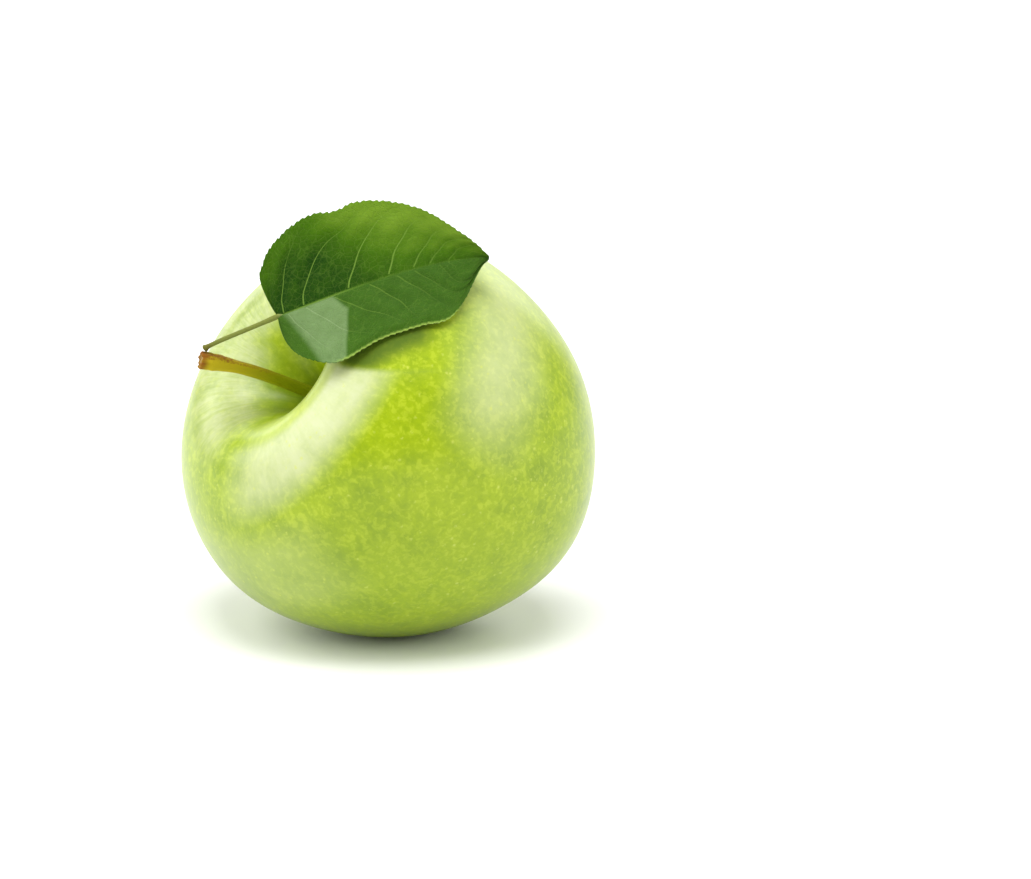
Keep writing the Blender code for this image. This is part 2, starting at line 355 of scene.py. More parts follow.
class Recipe:
    """A material's node tree, built from signals and colours."""

    def __init__(self, name: str) -> None:
        """Start an empty material.

        Args:
            name: The material's name.
        """
        self.material = bpy.data.materials.new(name)
        self.material.use_nodes = True
        self.tree = self.material.node_tree
        self.tree.nodes.clear()

    def node(self, kind: str, settings: dict, values: dict) -> bpy.types.Node:
        """Add a node.

        Args:
            kind: The node's type name.
            settings: Its properties, set first; "stops" are a ramp's places and colours.
            values: What each input takes: a Signal, a socket, or a plain value.

        Returns:
            The node.
        """
        made = self.tree.nodes.new(kind)
        for key, setting in settings.items():
            if key == "stops":
                self.fill_ramp(made.color_ramp, setting)
            else:
                setattr(made, key, setting)
        for key, value in values.items():
            socket = find_socket(made.inputs, key)
            if isinstance(value, Signal):
                self.tree.links.new(value.socket, socket)
            elif isinstance(value, bpy.types.NodeSocket):
                self.tree.links.new(value, socket)
            else:
                socket.default_value = value
        return made

    @staticmethod
    def fill_ramp(ramp: bpy.types.ColorRamp, stops: list[tuple[float, Colour]]) -> None:
        """Set a ramp's stops in order.

        Args:
            ramp: The ramp.
            stops: Each stop's place from 0 to 1 and its colour.
        """
        while len(ramp.elements) < len(stops):
            ramp.elements.new(1.0)
        for element, (place, colour) in zip(ramp.elements, stops):
            element.position = place
            element.color = (*colour, 1.0)

    def signal(self, kind: str, settings: dict, values: dict, output: str) -> Signal:
        """Add a node and wrap one of its outputs."""
        made = self.node(kind, settings, values)
        return Signal(self, find_socket(made.outputs, output))

    def math(self, operation: str, first: "Signal | float", second: "Signal | float",
             clamp: bool = False) -> Signal:
        """Add a Math node.

        Args:
            operation: What it does.
            first: Its first number.
            second: Its second number.
            clamp: True clips the result to the range from 0 to 1.

        Returns:
            The result.
        """
        made = self.node("ShaderNodeMath", {"operation": operation, "use_clamp": clamp}, {})
        for socket, value in zip(made.inputs, (first, second)):
            if isinstance(value, Signal):
                self.tree.links.new(value.socket, socket)
            else:
                socket.default_value = value
        return Signal(self, made.outputs[0])

    def larger(self, first: Signal, second: "Signal | float") -> Signal:
        """Take the larger of two numbers."""
        return self.math("MAXIMUM", first, second)

    def towards(self, along: Signal, across: Signal, heading: float) -> Signal:
        """Give the cosine of the angle between a direction, by cosine and sine, and a heading."""
        return math.cos(heading) * along + math.sin(heading) * across

    def place(self) -> bpy.types.NodeSocket:
        """Give the place on the piece in metres."""
        return self.node("ShaderNodeTexCoord", {}, {}).outputs["Object"]

    def stored(self, name: str) -> bpy.types.Node:
        """Read a named value of the mesh."""
        return self.node("ShaderNodeAttribute", {"attribute_name": name}, {})

    def split(self, vector: bpy.types.NodeSocket) -> tuple[Signal, Signal, Signal]:
        """Take a vector's three numbers apart."""
        made = self.node("ShaderNodeSeparateXYZ", {}, {"Vector": vector})
        return tuple(Signal(self, made.outputs[axis]) for axis in "XYZ")

    def stretch(self, vector: bpy.types.NodeSocket, scale: Point) -> bpy.types.NodeSocket:
        """Multiply a vector by three numbers.

        Args:
            vector: The vector.
            scale: What each of its numbers is multiplied by.

        Returns:
            The stretched vector.
        """
        made = self.node("ShaderNodeVectorMath", {"operation": "MULTIPLY"}, {"Vector": vector})
        made.inputs[1].default_value = scale
        return made.outputs["Vector"]

    def noise(self, vector: bpy.types.NodeSocket, scale: float, octaves: Octaves = Octaves.PLAIN,
              rough: float = 0.5, bend: float = 0.0) -> Signal:
        """Read a noise pattern, about 0.5 on average.

        Args:
            vector: The place.
            scale: How many lumps go to a unit of the place.
            octaves: How much fine detail it carries.
            rough: How strong that detail is.
            bend: How far the pattern is warped.

        Returns:
            The pattern.
        """
        values = {"Vector": vector, "Scale": scale, "Detail": octaves.value, "Roughness": rough,
                  "Distortion": bend}
        return self.signal("ShaderNodeTexNoise", {}, values, "Fac")

    def cells(self, vector: bpy.types.NodeSocket, scale: float, feature: str = "F1") -> Signal:
        """Read the distance to the nearest point, or to the nearest wall, of a cell pattern."""
        values = {"Vector": vector, "Scale": scale}
        return self.signal("ShaderNodeTexVoronoi", {"feature": feature}, values, "Distance")

    def blend(self, share: "Signal | float", first: "Colour | bpy.types.NodeSocket",
              second: "Colour | bpy.types.NodeSocket") -> bpy.types.NodeSocket:
        """Mix two colours.

        Args:
            share: The second colour's share, from 0 to 1.
            first: The first colour.
            second: The second colour.

        Returns:
            The mixed colour.
        """
        values = {"Factor_Float": share}
        for key, colour in (("A_Color", first), ("B_Color", second)):
            values[key] = (*colour, 1.0) if isinstance(colour, tuple) else colour
        made = self.node("ShaderNodeMix", {"data_type": "RGBA"}, values)
        return find_socket(made.outputs, "Result_Color")

    def shades(self, signal: Signal, stops: list[tuple[float, Colour]]) -> bpy.types.NodeSocket:
        """Turn a number into a colour by a ramp."""
        return self.node("ShaderNodeValToRGB", {"stops": stops}, {"Fac": signal}).outputs["Color"]

    def relief(self, height: Signal, depth: float) -> bpy.types.NodeSocket:
        """Turn a height into a bumped normal; a height of 1 stands for the depth in metres."""
        values = {"Height": height, "Distance": depth, "Strength": 1.0}
        return self.node("ShaderNodeBump", {}, values).outputs["Normal"]

    def finish(self, colour: bpy.types.NodeSocket, roughness: Signal,
               normal: bpy.types.NodeSocket, others: dict) -> bpy.types.Material:
        """Close the tree with a Principled shader.

        Args:
            colour: The base colour.
            roughness: The roughness.
            normal: The bumped normal.
            others: What its other inputs take; all but Coat Weight are the same all over.

        Returns:
            The finished material.
        """
        values = {"Base Color": colour, "Roughness": roughness, "Normal": normal, **others}
        shader = self.node("ShaderNodeBsdfPrincipled", {}, values)
        self.node("ShaderNodeOutputMaterial", {}, {"Surface": shader.outputs["BSDF"]})
        return self.material


# ---- The fruit ----


@dataclass(frozen=True)
class Zone:
    """A stretch of skin with soft borders, on one side of the fruit.

    Attributes:
        heading: The azimuth of its middle.
        side: The cosine of the angle to that heading where it begins, and where it is full.
        outer: The colatitude where it ends, and the one up to which it is full.
        inner: The colatitude where it begins, and where it is full; None starts it at the stem.
    """

    heading: float
    side: Span
    outer: Span
    inner: Span | None = None

    def share(self, mix: Recipe, meridian: tuple[Signal, Signal, Signal],
              outward: Signal | None = None) -> Signal:
        """Work out how far the skin belongs to the zone, as the product of its borders.

        Args:
            mix: The recipe to add to.
            meridian: The cosine and sine of the azimuth, and the colatitude.
            outward: What the outer border follows in place of the colatitude.

        Returns:
            The share, from 0 to 1.
        """
        along, across, down = meridian
        found = mix.towards(along, across, self.heading).ease(*self.side)
        found = found * (down if outward is None else outward).ease(*self.outer)
        return found if self.inner is None else found * down.ease(*self.inner)


@dataclass(frozen=True)
class Strip:
    """A strip of skin beside the near margin of the leaf, with soft borders.

    Attributes:
        back: Where it begins and is full, by the distance forward across the leaf, in millimetres.
        left: The same by the distance sideways, in metres.
        right: Where it ends, and up to where it is full, sideways.
        low: Where it begins and is full, by the height in metres.
    """

    back: Span
    left: Span
    right: Span
    low: Span

    def share(self, sideways: Signal, high: Signal, forward: Signal) -> Signal:
        """Work out how far the skin belongs to the strip, as the product of its borders."""
        return (high.ease(*self.low) * forward.ease(*self.back)
                * sideways.ease(*self.left) * sideways.ease(*self.right))


@dataclass(frozen=True)
class SkinFinish:
    """Waxy yellow-green skin: fine mottling and pores, paler waxy skin with painted highlights near
    the cavity and on the sides, painted light at the cavity's rim, and painted shade in the cavity,
    under the leaf and towards the bottom.
    """

    # deep: the deeper green of the mottling, also used for painted shade towards the bottom.
    deep: Colour = linear(130, 158, 0)
    ground: Colour = linear(158, 182, 0)
    pale: Colour = linear(194, 210, 46)
    # Pale waxy skin and painted highlight in one colour.
    wax_and_highlight: Colour = linear(206, 213, 166)
    # Painted shade in the cavity.
    pit: Colour = linear(122, 148, 0)
    russet: Colour = linear(118, 106, 28)
    pore: Colour = linear(206, 215, 90)
    # Painted shadow of the leaf on the skin.
    painted_leaf_shadow: Colour = linear(64, 94, 0)
    # Painted light on the cavity's rim and near wall, which lie in shade.
    rim: Colour = linear(204, 220, 122)
    # Zones of pale waxy skin and painted highlight: along the near rim, in the hollow, on the
    # shoulder, the cheek and the flank.
    band: Zone = Zone(5.84, (0.40, 0.95), (0.97, 0.77), (0.40, 0.50))
    band_tilt: float = 0.13
    band_tilt_heading: float = 6.1
    hollow: Zone = Zone(3.75, (0.45, 0.90), (0.66, 0.46), (0.17, 0.28))
    shoulder: Zone = Zone(2.85, (0.80, 0.97), (0.66, 0.50), (0.24, 0.36))
    cheek: Zone = Zone(0.6, (0.80, 0.985), (1.62, 1.30), (0.98, 1.28))
    flank: Zone = Zone(4.95, (0.80, 0.99), (1.55, 1.25), (0.80, 1.05))
    # lip: where the painted light of the rim and near wall goes.
    lip: Zone = Zone(5.95, (0.45, 0.90), (0.50, 0.42), (0.10, 0.22))
    # far_wall and crease: where painted shade goes in the cavity.
    far_wall: Zone = Zone(2.7, (0.0, 0.7), (0.26, 0.12))
    crease: Zone = Zone(4.2, (0.6, 0.95), (0.24, 0.14))
    # Under the leaf: rougher skin with less coat and no painted highlight, standing in for the
    # leaf's shadow.
    leaf_shadow_matt: Strip = Strip((18.0, 23.0), (-0.0120, -0.0095), (0.0115, 0.0065), (0.0550, 0.0562))
    # Where the painted shadow of the leaf falls, below its near margin.
    shade: Strip = Strip((12.0, 18.0), (-0.0110, -0.0080), (0.0090, 0.0035), (0.0548, 0.0566))
    shade_front: Span = (28.4, 25.6)
    across_leaf: Point = (237.0, -972.0, 0.0)
    broad_scale: float = 38.0
    patch_scale: float = 210.0
    grain_scale: float = 860.0
    speck_scale: float = 1500.0
    pore_scale: float = 520.0
    streak_scale: Point = (21.0, 21.0, 7.0)
    fibre_scale: Point = (46.0, 46.0, 14.0)
    roughness: float = 0.32
    grain_relief: float = 0.000036

    def mottling(self, mix: Recipe, patch: Signal, broad: Signal, grain: Signal,
                 rays: Signal) -> tuple[bpy.types.NodeSocket, Signal]:
        """Colour the bare skin: deep and lighter ground, pale flecks and faint pale rays.

        Args:
            mix: The recipe to add to.
            patch: The middling pattern.
            broad: The broad pattern.
            grain: The fine pattern of the flecks.
            rays: Streaks along the meridians.

        Returns:
            The colour, and how pale the skin is on a scale around 0.5.
        """
        paleness = 0.35 * broad + 0.65 * patch
        colour = mix.blend(paleness.ease(0.30, 0.60), self.deep, self.ground)
        flecks = grain.ease(0.50, 0.61) * (paleness * 1.8 - 0.24).within()
        colour = mix.blend(0.58 * flecks, colour, self.pale)
        colour = mix.blend(0.30 * grain.ease(0.47, 0.36), colour, self.deep)
        return mix.blend(0.26 * rays.ease(0.50, 0.70), colour, self.pale), paleness

    def build(self) -> bpy.types.Material:
        """Build the skin from the place on the fruit and its own meridian coordinates.

        Returns:
            The skin material.
        """
        mix = Recipe("apple_skin")
        place = mix.place()
        stored = mix.stored("meridian").outputs["Vector"]
        meridian = mix.split(stored)
        along, across, down = meridian
        broad = mix.noise(place, self.broad_scale)
        patch = mix.noise(place, self.patch_scale, Octaves.FINE, 0.6)
        grain = mix.noise(place, self.grain_scale, Octaves.FINE, 0.60, 0.45)
        speck = mix.noise(place, self.speck_scale, bend=0.4)
        streak = mix.noise(mix.stretch(stored, self.streak_scale), 1.0, Octaves.FINE, 0.6, 0.3)
        fibre = mix.noise(mix.stretch(stored, self.fibre_scale), 1.0, Octaves.FINE, 0.6, 0.4)
        colour, paleness = self.mottling(mix, patch, broad, grain, 0.5 * streak + 0.5 * fibre)

        # Paler waxy skin and painted highlight, strongest where the skin is paler, and none under
        # the leaf.
        rays = (0.45 * streak + 0.25 * fibre + 0.30 * patch).ease(0.34, 0.62)
        tilted = down + self.band_tilt * mix.towards(along, across, self.band_tilt_heading)
        band = 0.84 * self.band.share(mix, meridian, tilted) * (0.86 + 0.14 * rays)
        hollow = mix.larger(0.70 * self.hollow.share(mix, meridian),
                            0.66 * self.shoulder.share(mix, meridian)) * (0.45 + 0.55 * rays)
        soft = mix.larger(0.26 * self.flank.share(mix, meridian),
                          0.52 * self.cheek.share(mix, meridian))
        sideways, _, high = mix.split(place)
        forward = mix.signal("ShaderNodeVectorMath", {"operation": "DOT_PRODUCT"},
                             {"Vector": place, "Vector_001": self.across_leaf}, "Value")
        # Under the leaf the painted highlight is left out and the skin is rougher.
        leaf_shadow_matt = self.leaf_shadow_matt.share(sideways, high, forward)
        wax_and_highlight_share = mix.larger(mix.larger(band, hollow), soft) * (0.45 + 1.05 * paleness) * (1.0 - leaf_shadow_matt)
        colour = mix.blend(wax_and_highlight_share.within(), colour, self.wax_and_highlight)

        # Painted light: a paler rim and near wall of the cavity, though they lie in shade.
        lip = self.lip.share(mix, meridian)
        colour = mix.blend(0.66 * lip * (0.75 + 0.25 * rays), colour, self.rim)
        # Painted shade: deeper green on the cavity's far wall, its floor and the crease.
        cavity_shade = (0.42 * self.far_wall.share(mix, meridian) + 0.8 * down.ease(0.12, 0.08)
                + 0.70 * self.crease.share(mix, meridian))
        colour = mix.blend((cavity_shade * (1.1 - 0.4 * rays)).within(), colour, self.pit)
        rust = down.ease(0.12, 0.05) * (0.4 + patch).within()
        colour = mix.blend(0.4 * rust, colour, self.russet)
        # Painted shade: deeper green towards the bottom, near the floor.
        colour = mix.blend(0.26 * high.ease(0.033, 0.020), colour, self.deep)
        colour = mix.blend(0.35 * high.ease(0.010, 0.002), colour, self.deep)
        pores = (mix.cells(place, self.pore_scale).ease(0.24, 0.08) * speck.ease(0.40, 0.62)
                 * down.ease(0.25, 0.60))
        colour = mix.blend(0.50 * pores, colour, self.pore)
        # Painted shadow of the leaf on the skin below its near margin.
        shade = self.shade.share(sideways, high, forward) * forward.ease(*self.shade_front)
        colour = mix.blend(0.86 * shade, colour, self.painted_leaf_shadow)

        height = 0.5 * grain + 0.3 * speck + 0.35 * pores + 0.20 * fibre
        rough = self.roughness + 0.12 * (grain - 0.5) + 0.10 * pores + 0.45 * leaf_shadow_matt
        others = {"Specular IOR Level": 0.30, "Coat Weight": 0.18 * (1.0 - leaf_shadow_matt),
                  "Coat Roughness": 0.24, "Subsurface Weight": 0.08,
                  "Subsurface Radius": (0.004, 0.004, 0.001), "Subsurface Scale": 0.5}
        return mix.finish(colour, rough, mix.relief(height, self.grain_relief), others)


@dataclass
class Fruit:
    """The fruit: one closed skin with a cavity for the stem and a basin for the dried flower."""

    girth_radius: float = 0.0376
    stem_end_height: float = 0.0356
    blossom_end_height: float = 0.0360
    shoulder_swell: float = 0.215
    cavity_depth: float = 0.0158
    cavity_width: float = 0.0125
    pit_depth: float = 0.0050
    pit_width: float = 0.0050
    basin_depth: float = 0.0085
    basin_width: float = 0.0105
    lobes: int = 5
    lobe_swell: float = 0.020
    oval: tuple[float, float] = (0.0185, 0.0200)
    stem_end_skew: tuple[float, float] = (0.048, 0.056)
    blossom_end_skew: tuple[float, float] = (-0.165, -0.045)
    lean: float = math.radians(51.35)
    heading: float = math.radians(213.1)
    spin: float = math.radians(90.0)
    centre: Point = (-0.0019, 0.0034, 0.0339)
    inset: float = 0.00012
    unevenness: float = 0.00010
    seat_softness: float = 0.00012
    rows: int = 236
    columns: int = 400
    pole_crowding: float = 0.40
    finish: SkinFinish = field(default_factory=SkinFinish)

    def rotation(self) -> Array:
        """Give the rotation from the fruit's own frame, stem end up, to the frame of the part."""
        return turn("Z", self.heading) @ turn("Y", self.lean) @ turn("Z", self.spin)

    def to_part(self, own: Array) -> Array:
        """Move points from the fruit's own frame to the frame of the part."""
        return own @ self.rotation().T + np.array(self.centre)

    def skin(self, colatitude: Array, azimuth: Array) -> Array:
        """Work out the skin in the fruit's own frame.

        The outline is a circle of latitude, reach R sin a (1 + swell/2 cos a) and height H cos a,
        with bell shaped hollows sunk into both ends. Lobes, an oval girth and a skew of each end
        then make it uneven.

        Args:
            colatitude: The angle from the stem end, a.
            azimuth: The angle round the fruit's axis.

        Returns:
            The points, with one more axis than the angles.
        """
        rise = np.cos(colatitude)
        reach = self.girth_radius * np.sin(colatitude) * (1.0 + 0.5 * self.shoulder_swell * rise)
        height = rise * np.where(rise > 0.0, self.stem_end_height, self.blossom_end_height)
        cavity = (self.cavity_depth * bell(reach, 0.0, self.cavity_width)
                  + self.pit_depth * bell(reach, 0.0, self.pit_width))
        basin = self.basin_depth * bell(reach, 0.0, self.basin_width)
        upper = 0.5 * (1.0 + np.tanh(6.0 * rise))
        height = height + (1.0 - upper) * basin - upper * cavity

        lowness = (0.5 * (1.0 - rise)) ** 2
        lobe = self.lobe_swell * lowness * np.minimum(1.5 * np.sin(colatitude), 1.0)
        reach = reach * (1.0 + lobe * np.cos(self.lobes * azimuth))
        share = 0.5 * (1.0 + np.tanh(3.0 * rise))
        along, across = np.cos(azimuth), np.sin(azimuth)
        stem_skew = self.stem_end_skew[0] * along + self.stem_end_skew[1] * across
        blossom_skew = self.blossom_end_skew[0] * along + self.blossom_end_skew[1] * across
        height = height + reach * (share * stem_skew + (1.0 - share) * blossom_skew)
        oval = self.oval[0] * np.cos(2 * azimuth) + self.oval[1] * np.sin(2 * azimuth)
        reach = reach * (1.0 + oval)
        return np.stack([reach * along, reach * across, height], -1)

    def settle(self, points: Array) -> Array:
        """Draw the skin in by the inset and the unevenness, and flatten it where it rests.

        The unevenness is a sum of slow waves in the three coordinates. The height z becomes
        (z + sqrt(z^2 + softness^2)) / 2, which is flat below the floor and z well above it.

        Args:
            points: The skin in the frame of the part.

        Returns:
            The settled skin.
        """
        waves = (np.sin(190 * points[..., 0] + 1.3) * np.sin(160 * points[..., 1] + 0.4)
                 + np.sin(230 * points[..., 2] + 2.1 + 90 * points[..., 0]))
        centre = np.array(self.centre)
        inward = unit(centre - points)
        depth = self.inset + 0.5 * self.unevenness * (1.0 + 0.5 * waves[..., None])
        moved = points + inward * depth
        z = moved[..., 2]
        moved[..., 2] = 0.5 * (z + np.sqrt(z * z + self.seat_softness**2))
        return moved

    def build(self) -> bpy.types.Object:
        """Build the fruit and dress it; its rings crowd together towards both ends.

        Returns:
            The finished piece.
        """
        even = np.linspace(0.0, math.pi, self.rows + 2)
        crowded = even - 0.5 * self.pole_crowding * np.sin(2.0 * even)
        colatitude, azimuth = np.meshgrid(crowded, ring_angles(self.columns), indexing="ij")
        points = self.settle(self.to_part(self.skin(colatitude, azimuth)))
        meridian = np.stack([np.cos(azimuth), np.sin(azimuth), colatitude], -1)
        shell = Shell(points[1:-1], points[0, 0], points[-1, 0], {"meridian": meridian[1:-1]})
        return mesh_from_shells("fruit_body", [shell], self.finish.build())


# ---- The stem ----


@dataclass(frozen=True)
class BarkFinish:
    """Ochre bark, greener towards the fruit, with brown streaks and a corky cut end."""

    base: Colour = linear(140, 152, 14)
    middle: Colour = linear(146, 152, 2)
    outer: Colour = linear(184, 166, 22)
    brown: Colour = linear(132, 72, 22)
    cork: Colour = linear(196, 178, 124)
    roughness: float = 0.6
    relief: float = 0.00012

    def build(self) -> bpy.types.Material:
        """Build the bark from how far along and round the stem a point is.

        Returns:
            The bark material.
        """
        mix = Recipe("stem_bark")
        stored = mix.stored("bark").outputs["Vector"]
        along, height, cut = mix.split(mix.stored("zone").outputs["Vector"])
        place = mix.place()
        streak = mix.noise(mix.stretch(stored, (2.2, 2.2, 5.0)), 1.0, Octaves.FINE, 0.65, 0.3)
        speck = mix.noise(place, 2600.0, Octaves.FINE, 0.6)
        colour = mix.shades(along, [(0.0, self.base), (0.45, self.middle), (0.80, self.outer),
                                    (1.0, self.outer)])
        brown = (0.50 * streak + 0.40 * speck + 0.20 * height).ease(0.50, 0.68)
        reach = (0.06 + along.ease(0.30, 0.90)) * 0.80
        colour = mix.blend((brown * reach).within(), colour, self.brown)
        knob = along.ease(0.945, 0.995) * (0.55 + 0.8 * streak)
        colour = mix.blend((0.85 * knob).within(), colour, self.brown)
        core = cut * (0.35 + 0.65 * speck.ease(0.38, 0.60))
        colour = mix.blend(core.within(), colour, self.cork)
        height_map = 0.6 * streak + 0.4 * speck
        rough = self.roughness + 0.25 * along.ease(0.85, 1.0)
        return mix.finish(colour, rough, mix.relief(height_map, self.relief),
                          {"Specular IOR Level": 0.15})


@dataclass
class Stem:
    """The stem: a bent round rod with ridged bark and a ragged, slightly hollow cut end."""

    route: tuple[Point, ...] = ((-0.0122, -0.0033, 0.0437), (-0.0194, -0.0060, 0.0476),
                                (-0.0254, -0.0095, 0.0515), (-0.0345, -0.0116, 0.0533))
    radius: float = 0.00112
    base_swell: float = 0.15
    knob_swell: float = 0.40
    knob_start: float = 0.72
    ridge: float = 0.035
    hollow: float = 0.00035
    lip: float = 0.00022
    rows: int = 190
    columns: int = 64
    cap_rows: int = 10
    finish: BarkFinish = field(default_factory=BarkFinish)

    def thickness(self, t: Array, angle: Array) -> Array:
        """Work out the radius: a plain rod, swollen at both ends, times ridges and lumps.

        Args:
            t: How far along the stem, 0 at the fruit.
            angle: The angle round the stem.

        Returns:
            The radius in metres.
        """
        swell = self.base_swell * (1.0 - ease(t, 0.0, 0.25))
        swell = swell + self.knob_swell * ease(t, self.knob_start, 0.95)
        ridges = np.sin(5 * angle + 3.0 * t) + 0.6 * np.sin(9 * angle - 7.0 * t + 1.0)
        knob = ease(t, 0.84, 0.97)
        lumps = np.sin(3 * angle + 1.7) * np.sin(24 * t) + 0.8 * np.sin(7 * angle + 31 * t)
        nodes = 0.05 * bell(t, 0.88, 0.018) - 0.05 * bell(t, 0.925, 0.012)
        return self.radius * (1.0 + swell) * (1.0 + self.ridge * ridges * 0.5
                                              + 0.05 * knob * lumps + nodes * np.sin(angle))

    def build(self) -> bpy.types.Object:
        """Build the stem and dress it.

        The cut end is rings that shrink to the middle while they sink by the hollow.

        Returns:
            The finished piece.
        """
        t = np.linspace(0.0, 1.0, self.rows)
        angle = ring_angles(self.columns)
        share, turned = np.meshgrid(t, angle, indexing="ij")
        radius = self.thickness(share, turned)
        outline = np.stack([radius * np.cos(turned), radius * np.sin(turned)], -1)
        sides = carry(bezier(self.route, t), outline, (0.0, 0.0, 1.0))

        before, last = bezier(self.route, np.array([0.99, 1.0]))
        direction = unit(last - before)
        shrink = np.linspace(1.0, 0.0, self.cap_rows + 2)[1:-1, None]
        ragged = 1.0 + 0.5 * (np.sin(4 * angle + 0.5) + np.sin(9 * angle))
        lip = self.lip * bell(shrink, 0.84, 0.12) * ragged
        sink = lip - self.hollow * ease(1.0 - shrink, 0.05, 0.6)
        middle = sides[-1].mean(0)
        cap = middle + shrink[..., None] * (sides[-1] - middle) + sink[..., None] * direction
        rings = np.concatenate([sides, cap])

        along = np.concatenate([share, np.ones_like(cap[..., 0])])
        cut = np.concatenate([np.zeros_like(share), 1.0 - ease(shrink, 0.45, 0.85) + 0 * angle])
        round_ = np.concatenate([turned, np.broadcast_to(angle, cap.shape[:2])])
        bark = np.stack([np.cos(round_), np.sin(round_), along], -1)
        zone = np.stack([along, np.sin(round_), cut], -1)
        end = middle - self.hollow * direction
        shell = Shell(rings, sides[0].mean(0), end, {"bark": bark, "zone": zone})
        return mesh_from_shells("stem_body", [shell], self.finish.build())


# ---- The leaf ----


@dataclass(frozen=True)
class LeafFinish:
    """Leaf green with pale veins, a netted ground and a paler underside, with painted light: a waxy
    patch with a painted reflection near the base, a bluish painted sheen on the near half, painted
    shading between the veins and a painted highlight along the near margin.
    """

    deep: Colour = linear(22, 60, 0)
    mid: Colour = linear(62, 102, 2)
    light: Colour = linear(108, 142, 34)
    bluish: Colour = linear(60, 98, 30)
    # A pale waxy patch with a painted reflection near the base.
    bloom_and_sheen: Colour = linear(124, 152, 98)
    glint: Colour = linear(168, 190, 140)
    vein: Colour = linear(118, 152, 60)
    margin: Colour = linear(158, 188, 84)
    under: Colour = linear(140, 162, 104)
    stalk: Colour = linear(122, 130, 62)
    stalk_brown: Colour = linear(112, 104, 44)
    vein_width: float = 0.00009
    blade_scale: Point = (40.0, 15.0, 0.0)
    net_scale: float = 0.95
    fine_net_scale: float = 2.7
    roughness: float = 0.55
    relief: float = 0.00010

    def build(self) -> bpy.types.Material:
        """Build the blade from the place on it, the numbers of its side veins and its margin.

        A side vein runs wherever the running number is whole; its distance is that number's step
        from the nearest whole one times the spacing of the veins.

        Returns:
            The leaf material.
        """
        mix = Recipe("leaf_blade")
        blade = mix.stored("blade").outputs["Vector"]
        along, across, upper = mix.split(blade)
        spacing, edge, rib = mix.split(mix.stored("marks").outputs["Vector"])
        bloom_and_sheen, shade, rank = mix.split(mix.stored("tone").outputs["Vector"])
        near = across.ease(0.02, -0.02)
        reach = mix.math("ABSOLUTE", across, 0.0)
        from_vein = mix.math("PINGPONG", rank, 0.5)
        line = (from_vein * spacing / (self.vein_width * (1.35 - 0.75 * reach))).ease(1.9, 0.5)
        fade = ((1.0 - 0.80 * reach.ease(0.45, 0.95)) * along.ease(0.0, 0.02)
                * (1.0 - 0.65 * along.ease(0.55, 0.85)) * (1.0 - 0.45 * near))
        midrib = reach.ease(0.018, 0.004) * (1.0 - 0.85 * along.ease(0.25, 0.50))
        vein = mix.larger(line * fade, 0.8 * midrib)
        # Painted shading of the swelling between side veins: lighter midway, darker beside each
        # vein.
        pillow_shading = (2.0 * from_vein - 0.5) * reach.ease(0.03, 0.20) * reach.ease(1.0, 0.80)

        flat = mix.stretch(blade, self.blade_scale)
        patch = mix.noise(flat, 0.34, Octaves.FINE, 0.55)
        speck = mix.noise(flat, 2.6, Octaves.FINE, 0.6, 0.6)
        net = mix.cells(flat, self.net_scale, "DISTANCE_TO_EDGE").ease(0.09, 0.01)
        fine_net = mix.cells(flat, self.fine_net_scale, "DISTANCE_TO_EDGE").ease(0.14, 0.03)

        tone = (shade + (0.34 + 0.24 * near) * (patch - 0.5) + 0.22 * (speck - 0.5)
                + 0.13 * pillow_shading)
        stops = [(0.0, self.deep), (0.5, self.mid), (1.0, self.light)]
        colour = mix.shades(tone.within(), stops)
        # A bluish cast on the near half: painted sheen of reflected light.
        colour = mix.blend(near * (0.35 + 0.5 * patch).within(), colour, self.bluish)
        netting = (0.20 * net + 0.08 * fine_net) * (0.1 + patch)
        colour = mix.blend(netting.within(), colour, self.vein)
        colour = mix.blend((0.72 * vein).within(), colour, self.vein)
        # Pale waxy patch with a painted reflection near the base, and a painted glint on its veins.
        colour = mix.blend((bloom_and_sheen * (0.50 + 0.50 * patch)).within(), colour, self.bloom_and_sheen)
        colour = mix.blend((0.45 * vein * bloom_and_sheen).within(), colour, self.glint)
        # Painted highlight along the near margin, where the curled edge catches the light.
        colour = mix.blend((0.9 * edge).within(), colour, self.margin)
        under = upper.ease(0.3, -0.3)
        colour = mix.blend(0.85 * under, colour, self.under)
        colour = mix.blend(0.5 * under * vein, colour, self.vein)
        stalk = mix.blend(along.ease(-0.30, -0.42) * 0.7, self.stalk, self.stalk_brown)
        colour = mix.blend(rib, colour, stalk)

        height = 0.35 * speck - 0.55 * net - 0.25 * fine_net
        rough = self.roughness + 0.12 * (speck - 0.5) + 0.15 * under - 0.10 * near
        others = {"Specular IOR Level": 0.05, "Subsurface Weight": 0.05,
                  "Subsurface Radius": (0.001, 0.002, 0.0005), "Subsurface Scale": 0.3}
        return mix.finish(colour, rough, mix.relief(height, self.relief), others)


@dataclass(frozen=True)
class HalfBlade:
    """One half of the blade.

    Attributes:
        width: Its full width in metres.
        grow: How steeply the width opens from the base.
        close: How steeply it closes towards the tip.
        sweep: How far the margin is set back towards the base.
        base_sweep: How much more so at the base.
        lean: The direction in which the half leaves the midrib.
        curl: How far the margin turns up in its middle.
        waves: Bells that narrow the half: depth share, place along the midrib, spread.
    """

    width: float
    grow: float
    close: float
    sweep: float
    base_sweep: float
    lean: Point
    curl: float
    waves: tuple[tuple[float, float, float], ...]

    def share(self, t: Array) -> Array:
        """Work out the share of the full width: t^grow (1-t)^close over its own peak.

        Args:
            t: How far along the midrib.

        Returns:
            The share, narrowed by the waves.
        """
        widest = self.grow / (self.grow + self.close)
        peak = widest**self.grow * (1.0 - widest) ** self.close
        narrowing = sum(depth * bell(t, place, spread) for depth, place, spread in self.waves)
        return t**self.grow * (1.0 - t) ** self.close / peak * (1.0 - narrowing)


